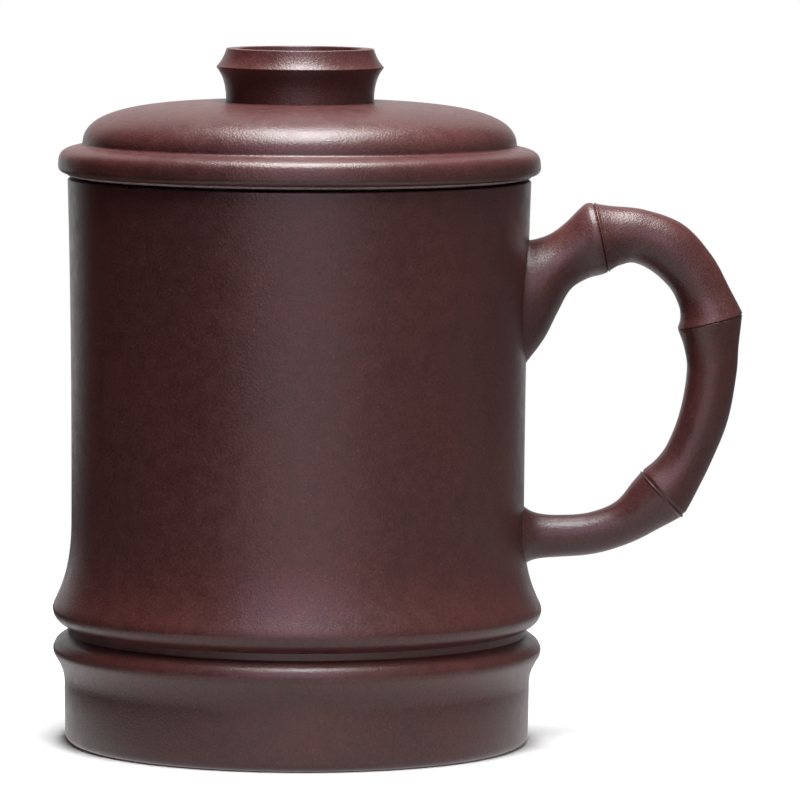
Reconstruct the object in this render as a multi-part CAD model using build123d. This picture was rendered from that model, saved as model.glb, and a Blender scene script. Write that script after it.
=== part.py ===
from build123d import *
import os
from math import cos, radians, sin

# A lidded tea mug of unglazed purple clay, shaped like a bamboo stem. Sizes are in millimetres.
# The origin is on the table, on the axis of the cup. +Z is up, and the handle points along +X.

# Cup wall
waist_radius = 41.8          # outside of the wall where it is narrowest
wall_thickness = 4.3         # at the waist; the bore is straight
rim_height = 104.0           # plane that the lid rests on
rim_flare = 0.85             # outside of the rim beyond the waist
rim_round = 0.8              # both edges of the rim

# Bamboo joint low on the cup
notch_height = 20.9          # bottom of the notch, where the two sections meet
notch_proud = 0.7            # beyond the waist, as are the other proud sizes
upper_ridge_proud = 3.4
upper_ridge_rise = 3.8       # crest above the notch
upper_flare_rise = 13.5      # from the crest up to the plain wall
lower_ridge_proud = 3.3
lower_ridge_drop = 3.7       # crest below the notch
lower_flare_drop = 9.0       # from the crest down to the plain foot
foot_proud = 1.4             # plain foot, at its top
foot_taper = 0.3             # narrower at the table by this
foot_round = 1.2             # edge that the foot stands on

# Floor of the cup
floor_recess = 2.0           # underside of the floor above the table
floor_thickness = 5.0
ledge_width = 4.0            # ledge in the foot that carries the floor
luting_gap = 0.15            # slip round the floor and the coil
coil_size = 6.0              # coil in the corner between floor and wall
coil_toe = 0.6               # thickness where the coil runs out

# Handle, along a bent centre line
handle_reach = 34.7          # from the waist to the furthest point of the centre line
handle_drop = 9.8            # from the rim down to the top of the centre line
handle_stand = 17.2          # from the notch up to the lower end of the centre line
handle_thickness = 9.0       # across the grip
root_embed = 2.0             # start of each root inside the wall, before it is trimmed
seam_chamfer = 0.3           # edge of each section at a joint

# Lid
brim_overhang = 1.75         # beyond the rim
brim_height = 6.3            # from the rim to the crease under the dome
brim_lower_round = 1.9
brim_upper_round = 3.9       # height of the bead's upper, elliptical part
dome_inset = 4.15            # crease inside the brim's edge
dome_rise = 7.8              # from the crease to the knob's seat
lid_thickness = 4.4          # of the dome at its middle
flange_depth = 8.0           # below the rim
flange_thickness = 3.5
flange_round = 1.2           # lower outer edge, which finds the mouth
lid_clearance = 0.6          # round the flange in the mouth

# Knob
knob_radius = 13.6           # neck where it meets the dome
knob_seat_land = 0.4         # flat of the dome round the neck
knob_height = 9.9
knob_ridge_radius = 15.45
knob_ridge_rise = 6.5        # above the seat
knob_top_radius = 13.55
knob_bevel_hollow = 0.15     # sag of the bevel between ridge and top
knob_recess_radius = 11.4    # at the top
knob_recess_taper = 0.8      # the bottom of the recess is narrower by this
knob_recess_depth = 5.0

# Worked-out sizes
bore_radius = waist_radius - wall_thickness
rim_radius = waist_radius + rim_flare
foot_radius = waist_radius + foot_proud
notch = (waist_radius + notch_proud, notch_height)
upper_crest = (waist_radius + upper_ridge_proud, notch_height + upper_ridge_rise)
upper_flare_end = (waist_radius, notch_height + upper_ridge_rise + upper_flare_rise)
lower_crest = (waist_radius + lower_ridge_proud, notch_height - lower_ridge_drop)
lower_flare_end = (foot_radius, notch_height - lower_ridge_drop - lower_flare_drop)
ledge_radius = bore_radius - ledge_width
floor_radius = bore_radius - luting_gap
floor_top = floor_recess + floor_thickness
handle_low = notch_height + handle_stand
handle_rise = rim_height - handle_drop - handle_low
brim_radius = rim_radius + brim_overhang
crease_radius = brim_radius - dome_inset
crease_height = rim_height + brim_height
seat_height = crease_height + dome_rise
flange_radius = bore_radius - lid_clearance
hollow_radius = flange_radius - flange_thickness

# Shares of a ridge: of the way from the notch to the crest, then from the crest to the plain wall,
# each as radius and height
upper_ridge_shares = ((0.63, 0.43), (0.14, 0.11))
lower_ridge_shares = ((0.60, 0.30), (0.17, 0.17))
flare_pull_shares = ((0.35, 0.175), (1.0, 0.44))
# Shares of the rim's flare and of the height from the upper flare to the rim
wall_swell_shares = ((0.0, 0.18), (0.17, 0.46), (0.53, 0.87))
# Shares of the way from the crease to the knob's seat
dome_pull_shares = ((0.0, 0.57), (0.21, 0.985))

# Sections across the handle: shares of the reach and of the rise, the lean in degrees, and the
# thickness in the handle's plane and square to it as shares of the grip's
upper_root_shares = (
    (0.108, 0.833, 0, 2.07, 1.50),
    (0.225, 0.934, 4, 1.38, 1.34),
    (0.311, 0.977, 6, 1.41, 1.38),
    (0.405, 0.995, 14, 1.48, 1.46),
)
arch_shares = (
    (0.405, 0.995, 14, 1.48, 1.46),
    (0.481, 0.997, 7, 1.26, 1.26),
    (0.602, 0.996, -12, 1.13, 1.13),
    (0.752, 0.953, -32, 1.15, 1.15),
    (0.876, 0.873, -51, 1.09, 1.09),
    (0.944, 0.796, -71, 1.10, 1.10),
    (0.975, 0.747, -78, 1.26, 1.26),
    (0.982, 0.714, -79, 1.36, 1.36),
)
grip_shares = (
    (0.982, 0.714, -79, 1.32, 1.32),
    (0.990, 0.637, -88, 1.12, 1.12),
    (0.989, 0.554, -93, 1.05, 1.05),
    (0.948, 0.404, -99, 1.03, 1.03),
    (0.872, 0.280, -115, 1.00, 1.00),
    (0.816, 0.214, -121, 1.05, 1.05),
    (0.751, 0.152, -131, 1.25, 1.25),
)
lower_root_shares = (
    (0.751, 0.152, -131, 1.21, 1.21),
    (0.664, 0.106, -146, 1.05, 1.05),
    (0.531, 0.051, -158, 0.90, 0.90),
    (0.366, 0.014, -169, 0.86, 0.86),
    (0.184, 0.004, -180, 0.85, 0.85),
    (0.058, 0.003, -180, 0.99, 0.99),
)
# The roots' ends inside the wall, without the reach
upper_end_shares = (0.778, 0, 2.42, 1.64)
lower_end_shares = (0.0, -180, 1.24, 1.24)


def turned(*edges):
    """Solid turned about the axis from a closed outline drawn as radius and height."""
    return revolve(Plane.XZ * make_face(edges), Axis.Z)


def toward(start, end, shares):
    """Point whose radius and height go these shares of the way from start to end."""
    return tuple(a + (b - a) * share for a, b, share in zip(start, end, shares))


def ridge(crest, plain, ridge_shares):
    """Outline of a bamboo ridge: up from the notch, round over the crest, then hollow to the wall."""
    flank = toward(notch, crest, ridge_shares[0])
    shoulder = toward(crest, plain, ridge_shares[1])
    pulls = [toward(shoulder, plain, shares) for shares in flare_pull_shares]
    return Line(notch, flank), ThreePointArc(flank, crest, shoulder), Bezier(shoulder, *pulls, plain)


def cup_wall():
    """Upper bamboo section, open at both ends, from the notch to the rim."""
    rim_edge = (rim_radius, rim_height - rim_round)
    rim_top = (rim_radius - rim_round, rim_height)
    mouth_top = (bore_radius + rim_round, rim_height)
    mouth_edge = (bore_radius, rim_height - rim_round)
    bore_foot = (bore_radius, notch_height)
    swell = [toward(upper_flare_end, rim_edge, shares) for shares in wall_swell_shares]
    return turned(
        *ridge(upper_crest, upper_flare_end, upper_ridge_shares),
        Spline(upper_flare_end, *swell, rim_edge),
        TangentArc(rim_edge, rim_top, tangent=(0, 1)),
        Line(rim_top, mouth_top),
        TangentArc(mouth_top, mouth_edge, tangent=(-1, 0)),
        Polyline(mouth_edge, bore_foot, notch),
    )


def foot_section():
    """Lower bamboo section, with the foot ring and the ledge that carries the floor."""
    foot_edge = (foot_radius - foot_taper, foot_round)
    standing_edge = (foot_edge[0] - foot_round, 0)
    return turned(
        *ridge(lower_crest, lower_flare_end, lower_ridge_shares),
        Line(lower_flare_end, foot_edge),
        TangentArc(foot_edge, standing_edge, tangent=(0, -1)),
        Polyline(
            standing_edge,
            (ledge_radius, 0),
            (ledge_radius, floor_recess),
            (bore_radius, floor_recess),
            (bore_radius, notch_height),
            notch,
        ),
    )


def base_disc():
    """Floor of the cup, seated on the ledge."""
    disc = Cylinder(floor_radius, floor_thickness, align=(Align.CENTER, Align.CENTER, Align.MIN))
    return Pos(0, 0, floor_recess) * disc


def base_coil():
    """Coil that rounds the corner between floor and wall."""
    floor_toe = (floor_radius - coil_size, floor_top + coil_toe)
    wall_toe = (floor_radius - coil_toe, floor_top + coil_size)
    return turned(
        TangentArc(floor_toe, wall_toe, tangent=(1, 0)),
        Polyline(
            wall_toe,
            (floor_radius, floor_top + coil_size),
            (floor_radius, floor_top),
            (floor_radius - coil_size, floor_top),
            floor_toe,
        ),
    )


def section(x, z, lean, tall_share, wide_share):
    """Face across the handle at a point of its centre line."""
    along = (cos(radians(lean)), 0, sin(radians(lean)))
    outward = (-sin(radians(lean)), 0, cos(radians(lean)))
    plane = Plane(origin=(x, 0, z), x_dir=outward, z_dir=along)
    radius = handle_thickness / 2
    return plane * Ellipse(radius * tall_share, radius * wide_share)


def station(reach_share, rise_share, *lean_and_shares):
    """Section at shares of the handle's reach and rise."""
    x = waist_radius + handle_reach * reach_share
    return section(x, handle_low + handle_rise * rise_share, *lean_and_shares)


def wall_end(rise_share, *lean_and_shares):
    """Section inside the wall, where a root starts."""
    return section(waist_radius - root_embed, handle_low + handle_rise * rise_share, *lean_and_shares)


def softened(branch):
    """Branch with its flat ends chamfered, which makes the seam at a joint."""
    return chamfer(branch.faces().filter_by(GeomType.PLANE).edges(), seam_chamfer)


def handle_upper_root(wall):
    faces = [wall_end(*upper_end_shares)] + [station(*row) for row in upper_root_shares]
    return softened(loft(faces) - wall)


def handle_arch():
    return softened(loft([station(*row) for row in arch_shares]))


def handle_grip():
    return softened(loft([station(*row) for row in grip_shares]))


def handle_lower_root(wall):
    faces = [station(*row) for row in lower_root_shares] + [wall_end(*lower_end_shares)]
    return softened(loft(faces) - wall)


def lid_brim():
    """Bead-shaped ring that rests on the rim."""
    under_edge = (brim_radius - brim_lower_round, rim_height)
    lower_edge = (brim_radius, rim_height + brim_lower_round)
    upper_edge = (brim_radius, crease_height - brim_upper_round)
    bead_centre = (crease_radius, upper_edge[1])
    bead = EllipticalCenterArc(bead_centre, dome_inset, brim_upper_round, start_angle=0, arc_size=90)
    return turned(
        TangentArc(under_edge, lower_edge, tangent=(1, 0)),
        Line(lower_edge, upper_edge),
        bead,
        Polyline(
            (crease_radius, crease_height),
            (hollow_radius, crease_height),
            (hollow_radius, rim_height),
            under_edge,
        ),
    )


def lid_dome():
    """Domed plate on the brim, hollow below, with a flat seat for the knob."""
    crease = (crease_radius, crease_height)
    seat_edge = (knob_radius + knob_seat_land, seat_height)
    pulls = [toward(crease, seat_edge, shares) for shares in dome_pull_shares]
    ceiling = seat_height - lid_thickness
    hollow_edge = (hollow_radius, crease_height)
    ceiling_edge = (hollow_radius - (ceiling - crease_height), ceiling)
    return turned(
        Bezier(crease, *pulls, seat_edge),
        Polyline(seat_edge, (0, seat_height), (0, ceiling), ceiling_edge),
        TangentArc(hollow_edge, ceiling_edge, tangent=(0, 1)),
        Line(hollow_edge, crease),
    )


def lid_flange():
    """Ring under the brim that keeps the lid in the mouth."""
    flange_foot = rim_height - flange_depth
    round_start = (flange_radius - flange_round, flange_foot)
    round_end = (flange_radius, flange_foot + flange_round)
    return turned(
        TangentArc(round_start, round_end, tangent=(1, 0)),
        Polyline(
            round_end,
            (flange_radius, rim_height),
            (hollow_radius, rim_height),
            (hollow_radius, flange_foot),
            round_start,
        ),
    )


def lid_knob():
    """Turned knob with a sharp ridge and a hollow top."""
    neck = (knob_radius, seat_height)
    crest = (knob_ridge_radius, seat_height + knob_ridge_rise)
    top = (knob_top_radius, seat_height + knob_height)
    recess_floor = top[1] - knob_recess_depth
    bevel_middle = ((crest[0] + top[0]) / 2 - knob_bevel_hollow, (crest[1] + top[1]) / 2)
    return turned(
        TangentArc(neck, crest, tangent=(0, 1)),
        ThreePointArc(crest, bevel_middle, top),
        Polyline(
            top,
            (knob_recess_radius, top[1]),
            (knob_recess_radius - knob_recess_taper, recess_floor),
            (0, recess_floor),
            (0, seat_height),
            neck,
        ),
    )


wall = cup_wall()
pieces = {
    "cup_wall": wall,
    "foot_section": foot_section(),
    "base_disc": base_disc(),
    "base_coil": base_coil(),
    "handle_upper_root": handle_upper_root(wall),
    "handle_arch": handle_arch(),
    "handle_grip": handle_grip(),
    "handle_lower_root": handle_lower_root(wall),
    "lid_dome": lid_dome(),
    "lid_brim": lid_brim(),
    "lid_flange": lid_flange(),
    "lid_knob": lid_knob(),
}

os.makedirs("parts", exist_ok=True)
for name, solid in pieces.items():
    export_step(solid, f"parts/{name}.step")
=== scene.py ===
from math import cos, exp, pi, radians, sin, sqrt

import bmesh
import bpy
from mathutils import Matrix, Vector
from mathutils.geometry import interpolate_bezier


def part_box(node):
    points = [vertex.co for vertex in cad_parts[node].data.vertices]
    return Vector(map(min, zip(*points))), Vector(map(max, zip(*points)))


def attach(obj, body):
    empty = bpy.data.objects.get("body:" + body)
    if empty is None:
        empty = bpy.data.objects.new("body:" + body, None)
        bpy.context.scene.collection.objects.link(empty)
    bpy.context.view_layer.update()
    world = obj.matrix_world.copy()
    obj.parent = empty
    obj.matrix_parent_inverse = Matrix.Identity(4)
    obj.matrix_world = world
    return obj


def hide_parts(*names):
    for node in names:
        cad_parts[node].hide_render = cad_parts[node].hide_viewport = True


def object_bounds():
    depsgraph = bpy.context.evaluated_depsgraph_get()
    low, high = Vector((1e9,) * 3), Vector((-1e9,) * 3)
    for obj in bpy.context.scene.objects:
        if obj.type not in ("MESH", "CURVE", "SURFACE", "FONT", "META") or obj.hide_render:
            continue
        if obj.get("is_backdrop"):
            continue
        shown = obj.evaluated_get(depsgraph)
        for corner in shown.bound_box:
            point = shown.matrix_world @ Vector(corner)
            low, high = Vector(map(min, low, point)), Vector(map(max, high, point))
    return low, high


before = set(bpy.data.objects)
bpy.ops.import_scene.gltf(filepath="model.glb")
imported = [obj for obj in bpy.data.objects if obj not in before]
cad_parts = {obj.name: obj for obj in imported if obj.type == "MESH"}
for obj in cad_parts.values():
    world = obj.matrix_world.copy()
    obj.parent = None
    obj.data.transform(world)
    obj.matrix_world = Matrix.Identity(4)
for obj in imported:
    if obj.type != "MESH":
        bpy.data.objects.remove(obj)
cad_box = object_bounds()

# A lidded tea mug of purple clay, shaped like a bamboo stem. Sizes are in millimetres, meshes in metres.
# The cup stands on its axis Z, the handle points along +X and the camera looks along +Y.

MM = 0.001
TURN_STEPS = 192        # round the cup, the lid and the knob
BRANCH_SIDES = 72       # round a section of the handle
BRANCH_RINGS = 150      # along a section of the handle
CURVE_POINTS = 22       # along one curved stretch of an outline
ROUND_SEGMENTS = 6      # across one rounded edge
LONGEST_FACE = 2.5      # along a turned wall
WELD_REACH = 0.001      # points closer than this become one
SHARP_ANGLE = 40        # degrees between faces that meet in a crisp edge
HIDDEN_SKIN = 0.3       # a face this close to a hidden wall has that wall's finish


def radius_and_heights(cad_node):
    """Outer radius, bottom and top of a turned node."""
    low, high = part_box(cad_node)
    return high.y / MM, low.z / MM, high.z / MM


upper_crest, notch_height, rim_height = radius_and_heights("cup_wall")
lower_crest, _, _ = radius_and_heights("foot_section")
floor_radius, floor_under, floor_top = radius_and_heights("base_disc")
_, _, coil_top = radius_and_heights("base_coil")
brim_radius, _, crease_height = radius_and_heights("lid_brim")
crease_radius, _, seat_height = radius_and_heights("lid_dome")
flange_radius, flange_foot, _ = radius_and_heights("lid_flange")
knob_crest, _, knob_top = radius_and_heights("lid_knob")

upper_ridge_proud = 3.4
notch_proud = 0.6
wall_thickness = 4.3
flange_thickness = 3.5
dome_inset = 0.3
waist_radius = upper_crest - upper_ridge_proud
notch_radius = waist_radius + notch_proud
bore_radius = waist_radius - wall_thickness
hollow_radius = flange_radius - flange_thickness
dome_foot = crease_radius - dome_inset


# Materials

def linear(hex_colour):
    """Linear colour of an sRGB hex value."""
    parts = [int(hex_colour[i:i + 2], 16) / 255 for i in (1, 3, 5)]
    return [p / 12.92 if p <= 0.04045 else ((p + 0.055) / 1.055) ** 2.4 for p in parts] + [1]


def add(tree, kind, *links, **settings):
    """Adds a node; a link is an input's name or number with a value or another node's output."""
    added = tree.nodes.new(kind)
    for name, value in settings.items():
        setattr(added, name, value)
    for socket, value in links:
        if isinstance(value, bpy.types.NodeSocket):
            tree.links.new(value, added.inputs[socket])
        else:
            added.inputs[socket].default_value = value
    return added


def new_material(name):
    """Material with an empty node tree, and its output node."""
    material = bpy.data.materials.new(name)
    material.use_nodes = True
    material.node_tree.nodes.clear()
    return material, material.node_tree, add(material.node_tree, "ShaderNodeOutputMaterial")


def clay(name, colour, warm, roughness, skin_size, skin_depth):
    """Fired stoneware: two near tones, grit specks, and a skin of fine dimples."""
    firing_size, mottle_size, grit_spacing = 26, 2.6, 1.15
    firing_low, firing_high = 0.35, 0.65
    noise_low, noise_high = 0.3, 0.7
    mottle_contrast, grain_contrast = 0.1, 0.28
    speck_colour, speck_core, speck_edge, speck_choice = "#5E4140", 0.10, 0.19, 0.7
    smoother, rougher = 0.04, 0.05
    material, tree, output = new_material(name)
    place = add(tree, "ShaderNodeTexCoord").outputs["Object"]
    firing = add(tree, "ShaderNodeTexNoise", ("Vector", place), ("Scale", 1 / (firing_size * MM)),
                 ("Detail", 3.0))
    mottle = add(tree, "ShaderNodeTexNoise", ("Vector", place), ("Scale", 1 / (mottle_size * MM)),
                 ("Detail", 3.0))
    skin = add(tree, "ShaderNodeTexNoise", ("Vector", place), ("Scale", 1 / (skin_size * MM)),
               ("Detail", 2.5))
    grit = add(tree, "ShaderNodeTexVoronoi", ("Vector", place), ("Scale", 1 / (grit_spacing * MM)))
    tone = add(tree, "ShaderNodeMapRange", ("Value", firing.outputs["Fac"]), ("From Min", firing_low),
               ("From Max", firing_high))
    base = add(tree, "ShaderNodeMix", (0, tone.outputs["Result"]), (6, linear(colour)), (7, linear(warm)),
               data_type="RGBA")
    blotch = add(tree, "ShaderNodeMapRange", ("Value", mottle.outputs["Fac"]),
                 ("From Min", noise_low), ("From Max", noise_high),
                 ("To Min", 1 - mottle_contrast), ("To Max", 1 + mottle_contrast))
    grain = add(tree, "ShaderNodeMapRange", ("Value", skin.outputs["Fac"]),
                ("From Min", noise_low), ("From Max", noise_high),
                ("To Min", 1 - grain_contrast), ("To Max", 1 + grain_contrast))
    shade = add(tree, "ShaderNodeMath", (0, blotch.outputs["Result"]), (1, grain.outputs["Result"]),
                operation="MULTIPLY")
    shaded = add(tree, "ShaderNodeMix", (0, 1.0), (6, base.outputs[2]), (7, shade.outputs[0]),
                 data_type="RGBA", blend_type="MULTIPLY")
    # Only some cells of the grit hold a speck, which fades out a fifth of a cell from its middle.
    dot = add(tree, "ShaderNodeMapRange", ("Value", grit.outputs["Distance"]),
              ("From Min", speck_core), ("From Max", speck_edge), ("To Min", 1.0), ("To Max", 0.0))
    chosen = add(tree, "ShaderNodeMath", (0, grit.outputs["Color"]), (1, speck_choice),
                 operation="GREATER_THAN")
    speck = add(tree, "ShaderNodeMath", (0, dot.outputs["Result"]), (1, chosen.outputs[0]),
                operation="MULTIPLY")
    speckled = add(tree, "ShaderNodeMix", (0, speck.outputs[0]), (6, shaded.outputs[2]),
                   (7, linear(speck_colour)), data_type="RGBA")
    gloss = add(tree, "ShaderNodeMapRange", ("Value", mottle.outputs["Fac"]),
                ("From Min", noise_low), ("From Max", noise_high),
                ("To Min", roughness - smoother), ("To Max", roughness + rougher))
    bump = add(tree, "ShaderNodeBump", ("Strength", 1.0), ("Distance", skin_depth * MM),
               ("Height", skin.outputs["Fac"]))
    shader = add(tree, "ShaderNodeBsdfPrincipled", ("Base Color", speckled.outputs[2]),
                 ("Roughness", gloss.outputs["Result"]), ("IOR", 1.5), ("Normal", bump.outputs["Normal"]))
    tree.links.new(shader.outputs[0], output.inputs["Surface"])
    return material


# Purple clay rubbed with a horn tool before firing: a satin skin with fine dimples, like a pear's.
# The real dimples are about 0.2 mm wide; they are drawn nearly twice as wide so that they show.
burnished_clay = clay("burnished_purple_stoneware", colour="#4A2828", warm="#502A28", roughness=0.35,
                      skin_size=0.38, skin_depth=0.065)
# The same clay where no tool reaches after the pieces are joined: duller, paler and sandy.
plain_clay = clay("plain_purple_stoneware", colour="#523230", warm="#563530", roughness=0.62,
                  skin_size=0.55, skin_depth=0.06)
# The same clay on the lid's lower edge, ground after firing until the lid sits true: a matt line. Its pale
# colour is partly the ground clay and partly a painted reflection of the white table on that edge.
ground_and_reflection_clay = clay("ground_purple_stoneware_painted_reflection", colour="#95817E", warm="#9A8580", roughness=0.7,
                   skin_size=0.55, skin_depth=0.03)
clays = (burnished_clay, plain_clay, ground_and_reflection_clay)
BURNISHED, PLAIN, GROUND_AND_REFLECTION = range(len(clays))


# Pieces

def finish_piece(bm, name, body, cad_node, surface):
    """Makes a mesh object that stands for one CAD node and moves with its body.

    The surface function gives the clay of a face from its radius and height.
    """
    bmesh.ops.remove_doubles(bm, verts=bm.verts, dist=WELD_REACH * MM)
    bmesh.ops.recalc_face_normals(bm, faces=bm.faces)
    for face in bm.faces:
        face.smooth = True
        middle = face.calc_center_median() / MM
        face.material_index = surface(middle.xy.length, middle.z)
    mesh = bpy.data.meshes.new(name)
    bm.to_mesh(mesh)
    bm.free()
    mesh.set_sharp_from_angle(angle=radians(SHARP_ANGLE))
    for material in clays:
        mesh.materials.append(material)
    piece = bpy.data.objects.new(name, mesh)
    bpy.context.scene.collection.objects.link(piece)
    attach(piece, body)
    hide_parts(cad_node)


def curve(start, *stretches):
    """Outline points along curves, each given as a pull at its start, a pull at its end, and its end."""
    points = [Vector(start)]
    for stretch in stretches:
        corners = [Vector(point) for point in (start, *stretch)]
        points += interpolate_bezier(*corners, CURVE_POINTS)[1:]
        start = stretch[-1]
    return [(point.x, point.y, 0) for point in points]


def turned(name, body, cad_node, outline, surface):
    """Piece turned about the axis.

    An outline point is a radius, a height and how far its edge is rounded.
    """
    bm = bmesh.new()
    corner = bm.verts.layers.int.new("corner")
    verts = [bm.verts.new((radius * MM, 0, height * MM)) for radius, height, _ in outline]
    for number, vert in enumerate(verts):
        vert[corner] = number
    edges = [bm.edges.new(pair) for pair in zip(verts, verts[1:])]
    if outline[0][0] > 0:
        edges.append(bm.edges.new((verts[-1], verts[0])))
    bmesh.ops.spin(bm, geom=verts + edges, cent=(0, 0, 0), axis=(0, 0, 1), angle=2 * pi,
                   steps=TURN_STEPS, use_merge=True)
    bmesh.ops.remove_doubles(bm, verts=bm.verts, dist=WELD_REACH * MM)
    for number, (_, _, rounding) in enumerate(outline):
        if rounding:
            ring = [e for e in bm.edges if all(v[corner] == number for v in e.verts)]
            bmesh.ops.bevel(bm, geom=ring, offset=rounding * MM, offset_type="OFFSET",
                            segments=ROUND_SEGMENTS, profile=0.5, affect="EDGES", material=-1)
    long_edges = [e for e in bm.edges if e.calc_length() > LONGEST_FACE * MM]
    while long_edges:
        bmesh.ops.subdivide_edges(bm, edges=long_edges, cuts=1, use_grid_fill=True)
        long_edges = [e for e in bm.edges if e.calc_length() > LONGEST_FACE * MM]
    finish_piece(bm, name, body, cad_node, surface)


def make_wall():
    """Upper bamboo section: the notch's narrow band, the ridge, its hollow flare, the waist and the rim."""
    rim_radius = waist_radius + 0.85
    lip_rounding, mouth_rounding = 0.35, 0.8
    band_height = notch_height + 0.5
    crest_height = notch_height + 3.6
    band = (notch_radius, band_height)
    band_pull = (notch_radius + 1.0, band_height + 0.55)
    crest = (upper_crest, crest_height)
    crest_under_pull = (upper_crest - 0.3, crest_height - 2.05)
    crest_over_pull = (upper_crest, crest_height + 0.5)
    flare = (waist_radius + 2.92, notch_height + 5.29)
    flare_under_pull = (flare[0] + 0.27, flare[1] - 0.55)
    flare_over_pull = (waist_radius + 1.9, notch_height + 7.39)
    waist = (waist_radius, notch_height + 19.5)
    waist_under_pull = (waist_radius, notch_height + 11.4)
    waist_over_pull = (waist_radius, rim_height - 42)
    lip = (rim_radius - 0.05, rim_height - 2.0)
    lip_pull = (waist_radius + 0.25, rim_height - 20)
    outline = [
        (notch_radius, notch_height, 0),
        *curve(band,
               (band_pull, crest_under_pull, crest),
               (crest_over_pull, flare_under_pull, flare),
               (flare_over_pull, waist_under_pull, waist),
               (waist_over_pull, lip_pull, lip)),
        (rim_radius, rim_height, lip_rounding),
        (bore_radius, rim_height, mouth_rounding),
        (bore_radius, notch_height, 0),
    ]
    turned("wall", "mug", "cup_wall", outline,
           lambda radius, height: PLAIN if radius < bore_radius + HIDDEN_SKIN else BURNISHED)


def make_foot():
    """Lower bamboo section: shelf, ridge, plain foot, standing ring and the ledge under the floor."""
    foot_radius = waist_radius + 1.3
    ledge_radius = bore_radius - 4.0
    edge_rounding, ledge_rounding = 1.55, 0.5
    standing_skin = 0.05
    band = (notch_radius, notch_height - 0.75)
    band_pull = (notch_radius + 0.5, notch_height - 0.9)
    shelf = (lower_crest - 1.0, notch_height - 1.75)
    shelf_inner_pull = (shelf[0] - 0.55, shelf[1] + 0.42)
    shelf_outer_pull = (shelf[0] + 0.4, shelf[1] - 0.3)
    crest = (lower_crest, notch_height - 3.5)
    crest_over_pull = (crest[0] - 0.1, crest[1] + 0.8)
    crest_under_pull = (crest[0], crest[1] - 0.6)
    flare = (lower_crest - 0.3, notch_height - 4.8)
    flare_over_pull = (flare[0] + 0.2, flare[1] + 0.35)
    flare_under_pull = (flare[0] - 0.7, flare[1] - 1.2)
    foot_top = (foot_radius - 0.1, notch_height - 10.6)
    foot_pull = (foot_top[0] - 0.15, foot_top[1] + 3.0)
    foot_edge = foot_radius - 0.3

    def surface(radius, height):
        hidden = radius < bore_radius + HIDDEN_SKIN or height < standing_skin
        return PLAIN if hidden else BURNISHED

    outline = [
        (notch_radius, notch_height, 0),
        *curve(band,
               (band_pull, shelf_inner_pull, shelf),
               (shelf_outer_pull, crest_over_pull, crest),
               (crest_under_pull, flare_over_pull, flare),
               (flare_under_pull, foot_pull, foot_top)),
        (foot_edge, 0, edge_rounding),
        (ledge_radius, 0, ledge_rounding),
        (ledge_radius, floor_under, 0),
        (bore_radius, floor_under, 0),
        (bore_radius, notch_height, 0),
    ]
    turned("foot", "mug", "foot_section", outline, surface)


def make_floor_slab():
    """Flat disc that closes the cup, on the foot's ledge."""
    outline = [
        (0, floor_top, 0),
        (floor_radius, floor_top, 0),
        (floor_radius, floor_under, 0),
        (0, floor_under, 0),
    ]
    turned("floor_slab", "mug", "base_disc", outline, lambda radius, height: PLAIN)


def make_floor_coil():
    """Coil of clay that rounds the corner between floor and wall."""
    coil_reach, toe_thickness, toe_run, hollow_pull = 6.0, 0.1, 0.4, 2.6
    toe = (floor_radius - coil_reach, floor_top + toe_thickness)
    toe_pull = (floor_radius - hollow_pull, floor_top + toe_thickness)
    top_pull = (floor_radius, floor_top + hollow_pull)
    top = (floor_radius, coil_top)
    outline = [
        (toe[0] - toe_run, floor_top, 0),
        *curve(toe, (toe_pull, top_pull, top)),
        (bore_radius, coil_top, 0),
        (bore_radius, floor_top, 0),
    ]
    turned("floor_coil", "mug", "base_coil", outline, lambda radius, height: PLAIN)


def make_brim():
    """Bead round the lid: it rests on the rim inside a thin ground edge, with a fine gap below the edge."""
    seat_radius = 39.8
    seat_skin = 0.1
    edge_radius, edge_height, edge_tall, edge_spread = 42.6, rim_height + 0.62, 0.28, 0.08
    edge_top = (edge_radius + edge_spread, edge_height + edge_tall)
    edge_pull = (edge_radius + 1.1, edge_height + 0.45)
    fullest = (brim_radius, rim_height + 2.3)
    fullest_under_pull = (brim_radius, edge_height + 0.9)
    fullest_over_pull = (brim_radius, fullest[1] + 2.5)
    cove = (crease_radius + 0.5, crease_height - 0.25)
    cove_outer_pull = (brim_radius - 0.5, crease_height - 0.9)
    cove_inner_pull = (crease_radius + 0.1, crease_height - 0.2)
    dome_side = (dome_foot, crease_height + 0.35)
    dome_pull = (dome_foot + 0.02, crease_height - 0.05)

    def surface(radius, height):
        if radius < hollow_radius + HIDDEN_SKIN or height < rim_height + seat_skin:
            return PLAIN
        # The thin lower edge gets the ground clay, whose pale colour is partly a painted reflection of the
        # table.
        return GROUND_AND_REFLECTION if radius < edge_top[0] and height < edge_top[1] else BURNISHED

    outline = [
        (hollow_radius, rim_height, 0),
        (seat_radius, rim_height, 0),
        (edge_radius, edge_height, 0),
        *curve(edge_top,
               (edge_pull, fullest_under_pull, fullest),
               (fullest_over_pull, cove_outer_pull, cove),
               (cove_inner_pull, dome_pull, dome_side)),
        (hollow_radius, crease_height, 0),
    ]
    turned("brim", "lid", "lid_brim", outline, surface)


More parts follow.
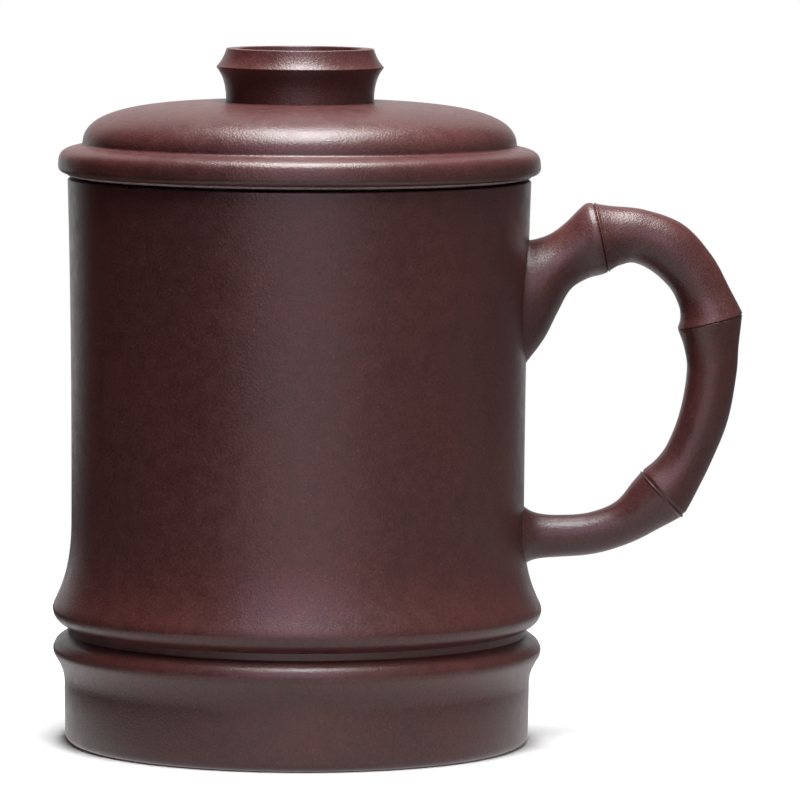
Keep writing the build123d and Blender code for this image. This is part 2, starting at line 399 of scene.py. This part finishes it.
def make_dome():
    """Domed plate, hollow below."""
    knob_seat = (14.0, seat_height + 0.12)
    foot = (dome_foot, crease_height)
    side_pull = (dome_foot, crease_height + 4.45)
    shoulder_pull = (dome_foot - 4.9, seat_height)
    ceiling = seat_height - 4.4
    ceiling_skin = 0.2
    cove = ceiling - crease_height
    side_share, ceiling_share = 0.55, 0.45
    cove_foot = (hollow_radius, crease_height)
    cove_foot_pull = (hollow_radius, crease_height + side_share * cove)
    cove_top = (hollow_radius - cove, ceiling)
    cove_top_pull = (hollow_radius - ceiling_share * cove, ceiling)

    def surface(radius, height):
        hidden = radius < hollow_radius and height < ceiling + ceiling_skin
        return PLAIN if hidden else BURNISHED

    outline = [
        (0, knob_seat[1], 0),
        *reversed(curve(foot, (side_pull, shoulder_pull, knob_seat))),
        (*cove_foot, 0),
        *curve(cove_foot, (cove_foot_pull, cove_top_pull, cove_top))[1:],
        (0, ceiling, 0),
    ]
    turned("dome", "lid", "lid_dome", outline, surface)


def make_flange():
    """Ring that keeps the lid in the mouth."""
    inner_rounding, outer_rounding = 0.8, 1.2
    outline = [
        (hollow_radius, rim_height, 0),
        (hollow_radius, flange_foot, inner_rounding),
        (flange_radius, flange_foot, outer_rounding),
        (flange_radius, rim_height, 0),
    ]
    turned("flange", "lid", "lid_flange", outline, lambda radius, height: PLAIN)


def make_knob():
    """Knob with a concave neck, a sharp ridge and a hollow top."""
    neck_radius, top_radius, recess_radius, recess_taper = 13.6, 13.55, 11.4, 0.8
    crest_rounding, top_rounding, lip_rounding, recess_rounding = 0.2, 0.12, 0.15, 1.2
    crest_height = seat_height + 6.5
    recess_floor = knob_top - 5.0
    neck = (neck_radius, seat_height)
    neck_pull = (neck_radius, seat_height + 3.0)
    crest_under = (knob_crest - 0.15, crest_height - 0.2)
    crest_under_pull = (neck_radius + 0.55, crest_height - 1.6)
    crest_over = (knob_crest - 0.14, crest_height + 0.14)
    crest_over_pull = (knob_crest - 0.95, crest_height + 0.95)
    top_under = (top_radius + 0.1, knob_top - 0.35)
    top_under_pull = (top_radius + 0.4, knob_top - 1.3)
    outline = [
        (0, seat_height, 0),
        *curve(neck, (neck_pull, crest_under_pull, crest_under)),
        (knob_crest, crest_height, crest_rounding),
        *curve(crest_over, (crest_over_pull, top_under_pull, top_under)),
        (top_radius, knob_top, top_rounding),
        (recess_radius, knob_top, lip_rounding),
        (recess_radius - recess_taper, recess_floor, recess_rounding),
        (0, recess_floor, 0),
    ]
    turned("knob", "lid", "lid_knob", outline, lambda radius, height: BURNISHED)


# Handle: four bamboo sections. A row is a place along one: how far out from the waist, how high,
# its lean in degrees, and its half thickness in the plane of the handle and across it.

upper_root_rows = (
    (-2.0, 80.4, 0, 12.2, 8.8),
    (0.7, 82.1, 0, 10.9, 8.35),
    (2.0, 83.05, 0, 10.25, 8.05),
    (3.75, 84.65, 0, 9.25, 7.5),
    (5.6, 87.25, 2, 7.55, 6.75),
    (7.8, 90.2, 4, 6.25, 6.2),
    (10.8, 92.65, 6, 6.6, 6.3),
    (12.6, 93.35, 12, 6.72, 6.6),
    (13.7, 93.6, 13, 6.5, 6.5),
)
arch_rows = (
    (13.7, 93.6, 13, 6.45, 6.45),
    (16.5, 93.95, 7, 5.5, 5.6),
    (20.9, 93.85, -12, 5.0, 5.0),
    (26.2, 91.65, -32, 5.2, 5.2),
    (30.5, 87.2, -51, 4.9, 4.9),
    (32.85, 82.8, -69, 4.95, 4.95),
    (33.8, 80.1, -75, 5.5, 5.55),
    (34.0, 78.25, -76, 6.2, 6.2),
)
grip_rows = (
    (34.0, 78.25, -76, 6.1, 6.1),
    (34.28, 73.85, -87, 5.08, 5.1),
    (34.43, 69.2, -93, 4.62, 4.7),
    (33.03, 60.75, -99, 4.52, 4.55),
    (30.37, 53.75, -115, 4.38, 4.45),
    (28.2, 49.95, -124, 4.75, 4.85),
    (25.6, 46.35, -136, 5.65, 5.75),
)
lower_root_rows = (
    (25.6, 46.35, -136, 5.6, 5.65),
    (22.9, 44.35, -146, 5.0, 5.0),
    (18.4, 40.95, -158, 4.05, 4.1),
    (12.7, 38.9, -169, 3.85, 3.9),
    (6.4, 38.3, -180, 3.85, 3.85),
    (-2.0, 38.3, -180, 3.85, 3.85),
)


def along_branch(rows):
    """Rows along a smooth curve through the given ones, crowded towards both ends.

    Each comes with its distance from the start and from the end.
    """
    rows = [Vector(row) for row in rows]
    spots = [0.0]
    for before, after in zip(rows, rows[1:]):
        spots.append(spots[-1] + (after - before).xy.length)
    last = len(rows) - 1
    slopes = []
    for i in range(len(rows)):
        before, after = max(i - 1, 0), min(i + 1, last)
        slopes.append((rows[after] - rows[before]) / (spots[after] - spots[before]))
    for ring in range(BRANCH_RINGS + 1):
        spot = spots[last] * (1 - cos(pi * ring / BRANCH_RINGS)) / 2
        i = max(k for k in range(last) if spots[k] <= spot)
        run = spots[i + 1] - spots[i]
        t = (spot - spots[i]) / run
        ease = t * t * (3 - 2 * t)
        leave = t * (1 - t) ** 2 * run
        arrive = t * t * (t - 1) * run
        row = rows[i].lerp(rows[i + 1], ease) + slopes[i] * leave + slopes[i + 1] * arrive
        yield spot, spots[last] - spot, row


def branch(name, cad_node, rows, start_lip=None, end_lip=None, fillet=None):
    """Section of the handle.

    A lip is the height, place and width of a bead by a joint, and the depth and width of its seam.
    A fillet is how far a root spreads where it meets the wall, and over what reach.
    """
    wrap_reach = 6.0
    bm = bmesh.new()
    loops = []
    for from_start, to_end, (reach, height, lean, tall, wide) in along_branch(rows):
        swell = 0
        for lip, distance in ((start_lip, from_start), (end_lip, to_end)):
            if lip:
                bead, place, bead_width, depth, seam_width = lip
                swell += bead * exp(-((distance - place) / bead_width) ** 2)
                swell -= depth * exp(-(distance / seam_width) ** 2)
        if fillet:
            spread, spread_reach = fillet
            swell += spread * exp(-max(reach, 0) / spread_reach)
        lean = radians(lean)
        outward = Vector((-sin(lean), 0, cos(lean)))
        along = Vector((cos(lean), 0, sin(lean)))
        across = along.cross(outward)
        stance = Matrix((outward * (tall + swell), across * (wide + swell), along)).transposed().to_4x4()
        stance.translation = (waist_radius + reach, 0, height)
        ring = bmesh.ops.create_circle(bm, segments=BRANCH_SIDES, radius=1,
                                       matrix=Matrix.Scale(MM, 4) @ stance)
        if fillet:
            # Near the cup a ring bends round with the wall, so that the fillet is even all round the root.
            wrap = max(0, 1 - max(reach, 0) / wrap_reach) ** 2
            for vert in ring["verts"]:
                fall = waist_radius - sqrt(waist_radius ** 2 - (vert.co.y / MM) ** 2)
                vert.co.x -= wrap * fall * MM
        loops.append(list({edge for vert in ring["verts"] for edge in vert.link_edges}))
    for before, after in zip(loops, loops[1:]):
        bmesh.ops.bridge_loops(bm, edges=before + after)
    for end in (loops[0], loops[-1]):
        bmesh.ops.contextual_create(bm, geom=end)
    finish_piece(bm, name, "mug", cad_node, lambda radius, height: BURNISHED)


def make_handle():
    """Sections luted end to end: a fine seam at each joint, and a thin lip where one overlaps the next."""
    no_bead = (0, 1, 1)
    thin_lip = (0.16, 0.3, 0.18)
    fine_seam = (0.22, 0.1)
    round_end = (0.3, 0.4)
    upper_fillet = (0.4, 0.4)
    lower_fillet = (1.6, 1.75)
    branch("upper_root", "handle_upper_root", upper_root_rows,
           end_lip=no_bead + fine_seam, fillet=upper_fillet)
    branch("arch", "handle_arch", arch_rows,
           start_lip=thin_lip + fine_seam, end_lip=no_bead + fine_seam)
    branch("grip", "handle_grip", grip_rows,
           start_lip=no_bead + fine_seam, end_lip=no_bead + round_end)
    branch("lower_root", "handle_lower_root", lower_root_rows,
           start_lip=thin_lip + fine_seam, fillet=lower_fillet)


make_wall()
make_foot()
make_floor_slab()
make_floor_coil()
make_brim()
make_dome()
make_flange()
make_knob()
make_handle()


# Studio, in metres

def flat_sheet(name, width, depth, material, place):
    """Flat sheet facing up, or turned and moved by a matrix."""
    half_side = 0.5
    bm = bmesh.new()
    bmesh.ops.create_grid(bm, x_segments=1, y_segments=1, size=half_side,
                          matrix=place @ Matrix.Diagonal((width, depth, 1, 1)))
    mesh = bpy.data.meshes.new(name)
    bm.to_mesh(mesh)
    bm.free()
    mesh.materials.append(material)
    sheet = bpy.data.objects.new(name, mesh)
    bpy.context.scene.collection.objects.link(sheet)
    sheet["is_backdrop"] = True
    return sheet


def white_to_view(tree):
    """1 for the rays that see the background: from the camera, in gloss and through glass."""
    path = add(tree, "ShaderNodeLightPath")
    gloss = add(tree, "ShaderNodeMath", (0, path.outputs["Is Camera Ray"]),
                (1, path.outputs["Is Glossy Ray"]), operation="MAXIMUM")
    seen = add(tree, "ShaderNodeMath", (0, gloss.outputs[0]), (1, path.outputs["Is Transmission Ray"]),
               operation="MAXIMUM")
    return seen.outputs[0]


def make_table():
    """White table: the camera sees the mug's shadow near the foot, and plain white further away.

    In gloss it is plain white all over.
    """
    table_size, table_drop = 20, 0.1 * MM
    shadow_reach, white_reach = 0.13, 0.32
    far_paper, near_paper, seen_paper = "#202020", "#B6B6B6", "#F0F0F0"
    material, tree, output = new_material("white_table")
    seen = white_to_view(tree)
    place = add(tree, "ShaderNodeTexCoord").outputs["Object"]
    away = add(tree, "ShaderNodeVectorMath", (0, place), operation="LENGTH")
    near = add(tree, "ShaderNodeMapRange", ("Value", away.outputs["Value"]), ("From Min", shadow_reach),
               ("From Max", white_reach), ("To Min", 1.0), ("To Max", 0.0), interpolation_type="SMOOTHSTEP")
    # Only the paper near the mug throws much light back up at it.
    bounce = add(tree, "ShaderNodeMix", (0, near.outputs["Result"]), (6, linear(far_paper)),
                 (7, linear(near_paper)), data_type="RGBA")
    paper = add(tree, "ShaderNodeMix", (0, seen), (6, bounce.outputs[2]), (7, linear(seen_paper)),
                data_type="RGBA")
    matt = add(tree, "ShaderNodeBsdfDiffuse", ("Color", paper.outputs[2]))
    white = add(tree, "ShaderNodeEmission", ("Strength", 1.0))
    camera_ray = add(tree, "ShaderNodeLightPath").outputs["Is Camera Ray"]
    shadowed = add(tree, "ShaderNodeMath", (0, near.outputs["Result"]), (1, camera_ray),
                   operation="MULTIPLY")
    plain = add(tree, "ShaderNodeMath", (0, seen), (1, shadowed.outputs[0]), operation="SUBTRACT")
    mix = add(tree, "ShaderNodeMixShader", (0, plain.outputs[0]), (1, matt.outputs[0]),
              (2, white.outputs[0]))
    tree.links.new(mix.outputs[0], output.inputs["Surface"])
    flat_sheet("table", table_size, table_size, material, Matrix.Translation((0, 0, -table_drop)))


def make_card(name, stance, level, width, height, place, colour="#FFFFFF"):
    """Card beside the mug, out of view, that only its gloss sees.

    A level of 0 is black, 1 is white, and more is a card that is lit.
    """
    material, tree, output = new_material(name)
    glow = add(tree, "ShaderNodeEmission", ("Color", linear(colour)), ("Strength", level))
    tree.links.new(glow.outputs[0], output.inputs["Surface"])
    card = flat_sheet(name, width, height, material, Matrix.Translation(place) @ stance)
    card.visible_camera = False
    card.visible_diffuse = False
    card.visible_shadow = False


def make_cards():
    """Cards and flags all round: the front card, faintly violet, gives the sheen down the wall."""
    lying = Matrix()
    along_x = Matrix.Rotation(pi / 2, 4, "X")
    along_y = Matrix.Rotation(pi / 2, 4, "Z") @ along_x
    on_table = 0.0005
    make_card("left_flag", along_y, level=0.0, width=0.69, height=0.9, place=(-0.22, -0.105, 0.45))
    make_card("right_card", along_y, level=0.19, width=0.6, height=0.9, place=(0.30, -0.2, 0.45))
    make_card("right_flag", along_y, level=0.125, width=0.5, height=0.9, place=(0.30, 0.35, 0.45))
    make_card("left_floor_flag", lying, level=0.063, width=0.525, height=1.0, place=(-0.3375, 0, on_table))
    make_card("right_floor_flag", lying, level=0.36, width=0.5, height=1.0, place=(0.34, 0, on_table))
    make_card("front_card", along_x, level=2.35, width=0.6, height=0.62, place=(0, -0.7, 0.49),
              colour="#F0E2FF")
    make_card("front_flag", along_x, level=0.0, width=1.0, height=1.0, place=(0.04, -0.75, 0.7))
    make_card("back_card", along_x, level=0.66, width=0.7, height=0.5, place=(0, 0.6, 0.45))
    make_card("ceiling_flag", lying, level=0.0, width=1.6, height=1.6, place=(0, 0, 0.95))


def make_softbox(name, width, depth, watts, place, aim):
    """Soft rectangular lamp turned towards a point."""
    lamp = bpy.data.lights.new(name, "AREA")
    lamp.shape = "RECTANGLE"
    lamp.size, lamp.size_y = width, depth
    lamp.energy = watts
    softbox = bpy.data.objects.new(name, lamp)
    turn = (Vector(aim) - Vector(place)).to_track_quat("-Z", "Y")
    softbox.matrix_world = Matrix.Translation(place) @ turn.to_matrix().to_4x4()
    bpy.context.scene.collection.objects.link(softbox)


def make_lamps():
    """A softbox above the mug and a little in front of it, and a weak fill from the front right."""
    mug_middle = (0, 0, 0.06)
    above_right, above_front = 0.02, -0.1025
    make_softbox("overhead_softbox", width=0.34, depth=0.705, watts=15.4,
                 place=(above_right, above_front, 0.8), aim=(above_right, above_front, 0))
    make_softbox("right_fill", width=0.9, depth=0.6, watts=3.1, place=(0.8, -0.8, 0.92), aim=mug_middle)


def make_world():
    """White for the camera and in gloss, and a plain soft level for everything else."""
    room_level, seen_level = 0.03, 1.0
    world = bpy.data.worlds.new("studio")
    world.use_nodes = True
    tree = world.node_tree
    tree.nodes.clear()
    level = add(tree, "ShaderNodeMapRange", ("Value", white_to_view(tree)),
                ("To Min", room_level), ("To Max", seen_level))
    sky = add(tree, "ShaderNodeBackground", ("Strength", level.outputs["Result"]))
    output = add(tree, "ShaderNodeOutputWorld")
    tree.links.new(sky.outputs[0], output.inputs["Surface"])
    bpy.context.scene.world = world


def make_camera():
    """Camera at the photograph's place, with its slight roll. Place and aim are in millimetres."""
    place = Vector((18.75, -1224, 173.4))
    aim = Vector((18.75, 0, 63.3))
    roll = 0.0068
    focal_length = 299.7
    lens = bpy.data.cameras.new("camera")
    lens.lens = focal_length
    camera = bpy.data.objects.new("camera", lens)
    turn = (aim - place).to_track_quat("-Z", "Y").to_matrix().to_4x4()
    camera.matrix_world = Matrix.Translation(place * MM) @ turn @ Matrix.Rotation(roll, 4, "Z")
    bpy.context.scene.collection.objects.link(camera)
    bpy.context.scene.camera = camera


make_table()
make_cards()
make_lamps()
make_world()
make_camera()
bpy.context.scene.view_settings.view_transform = "Standard"

boxes = {"cad": cad_box, "visual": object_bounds()}
{name: [list(corner) for corner in box] for name, box in boxes.items()}
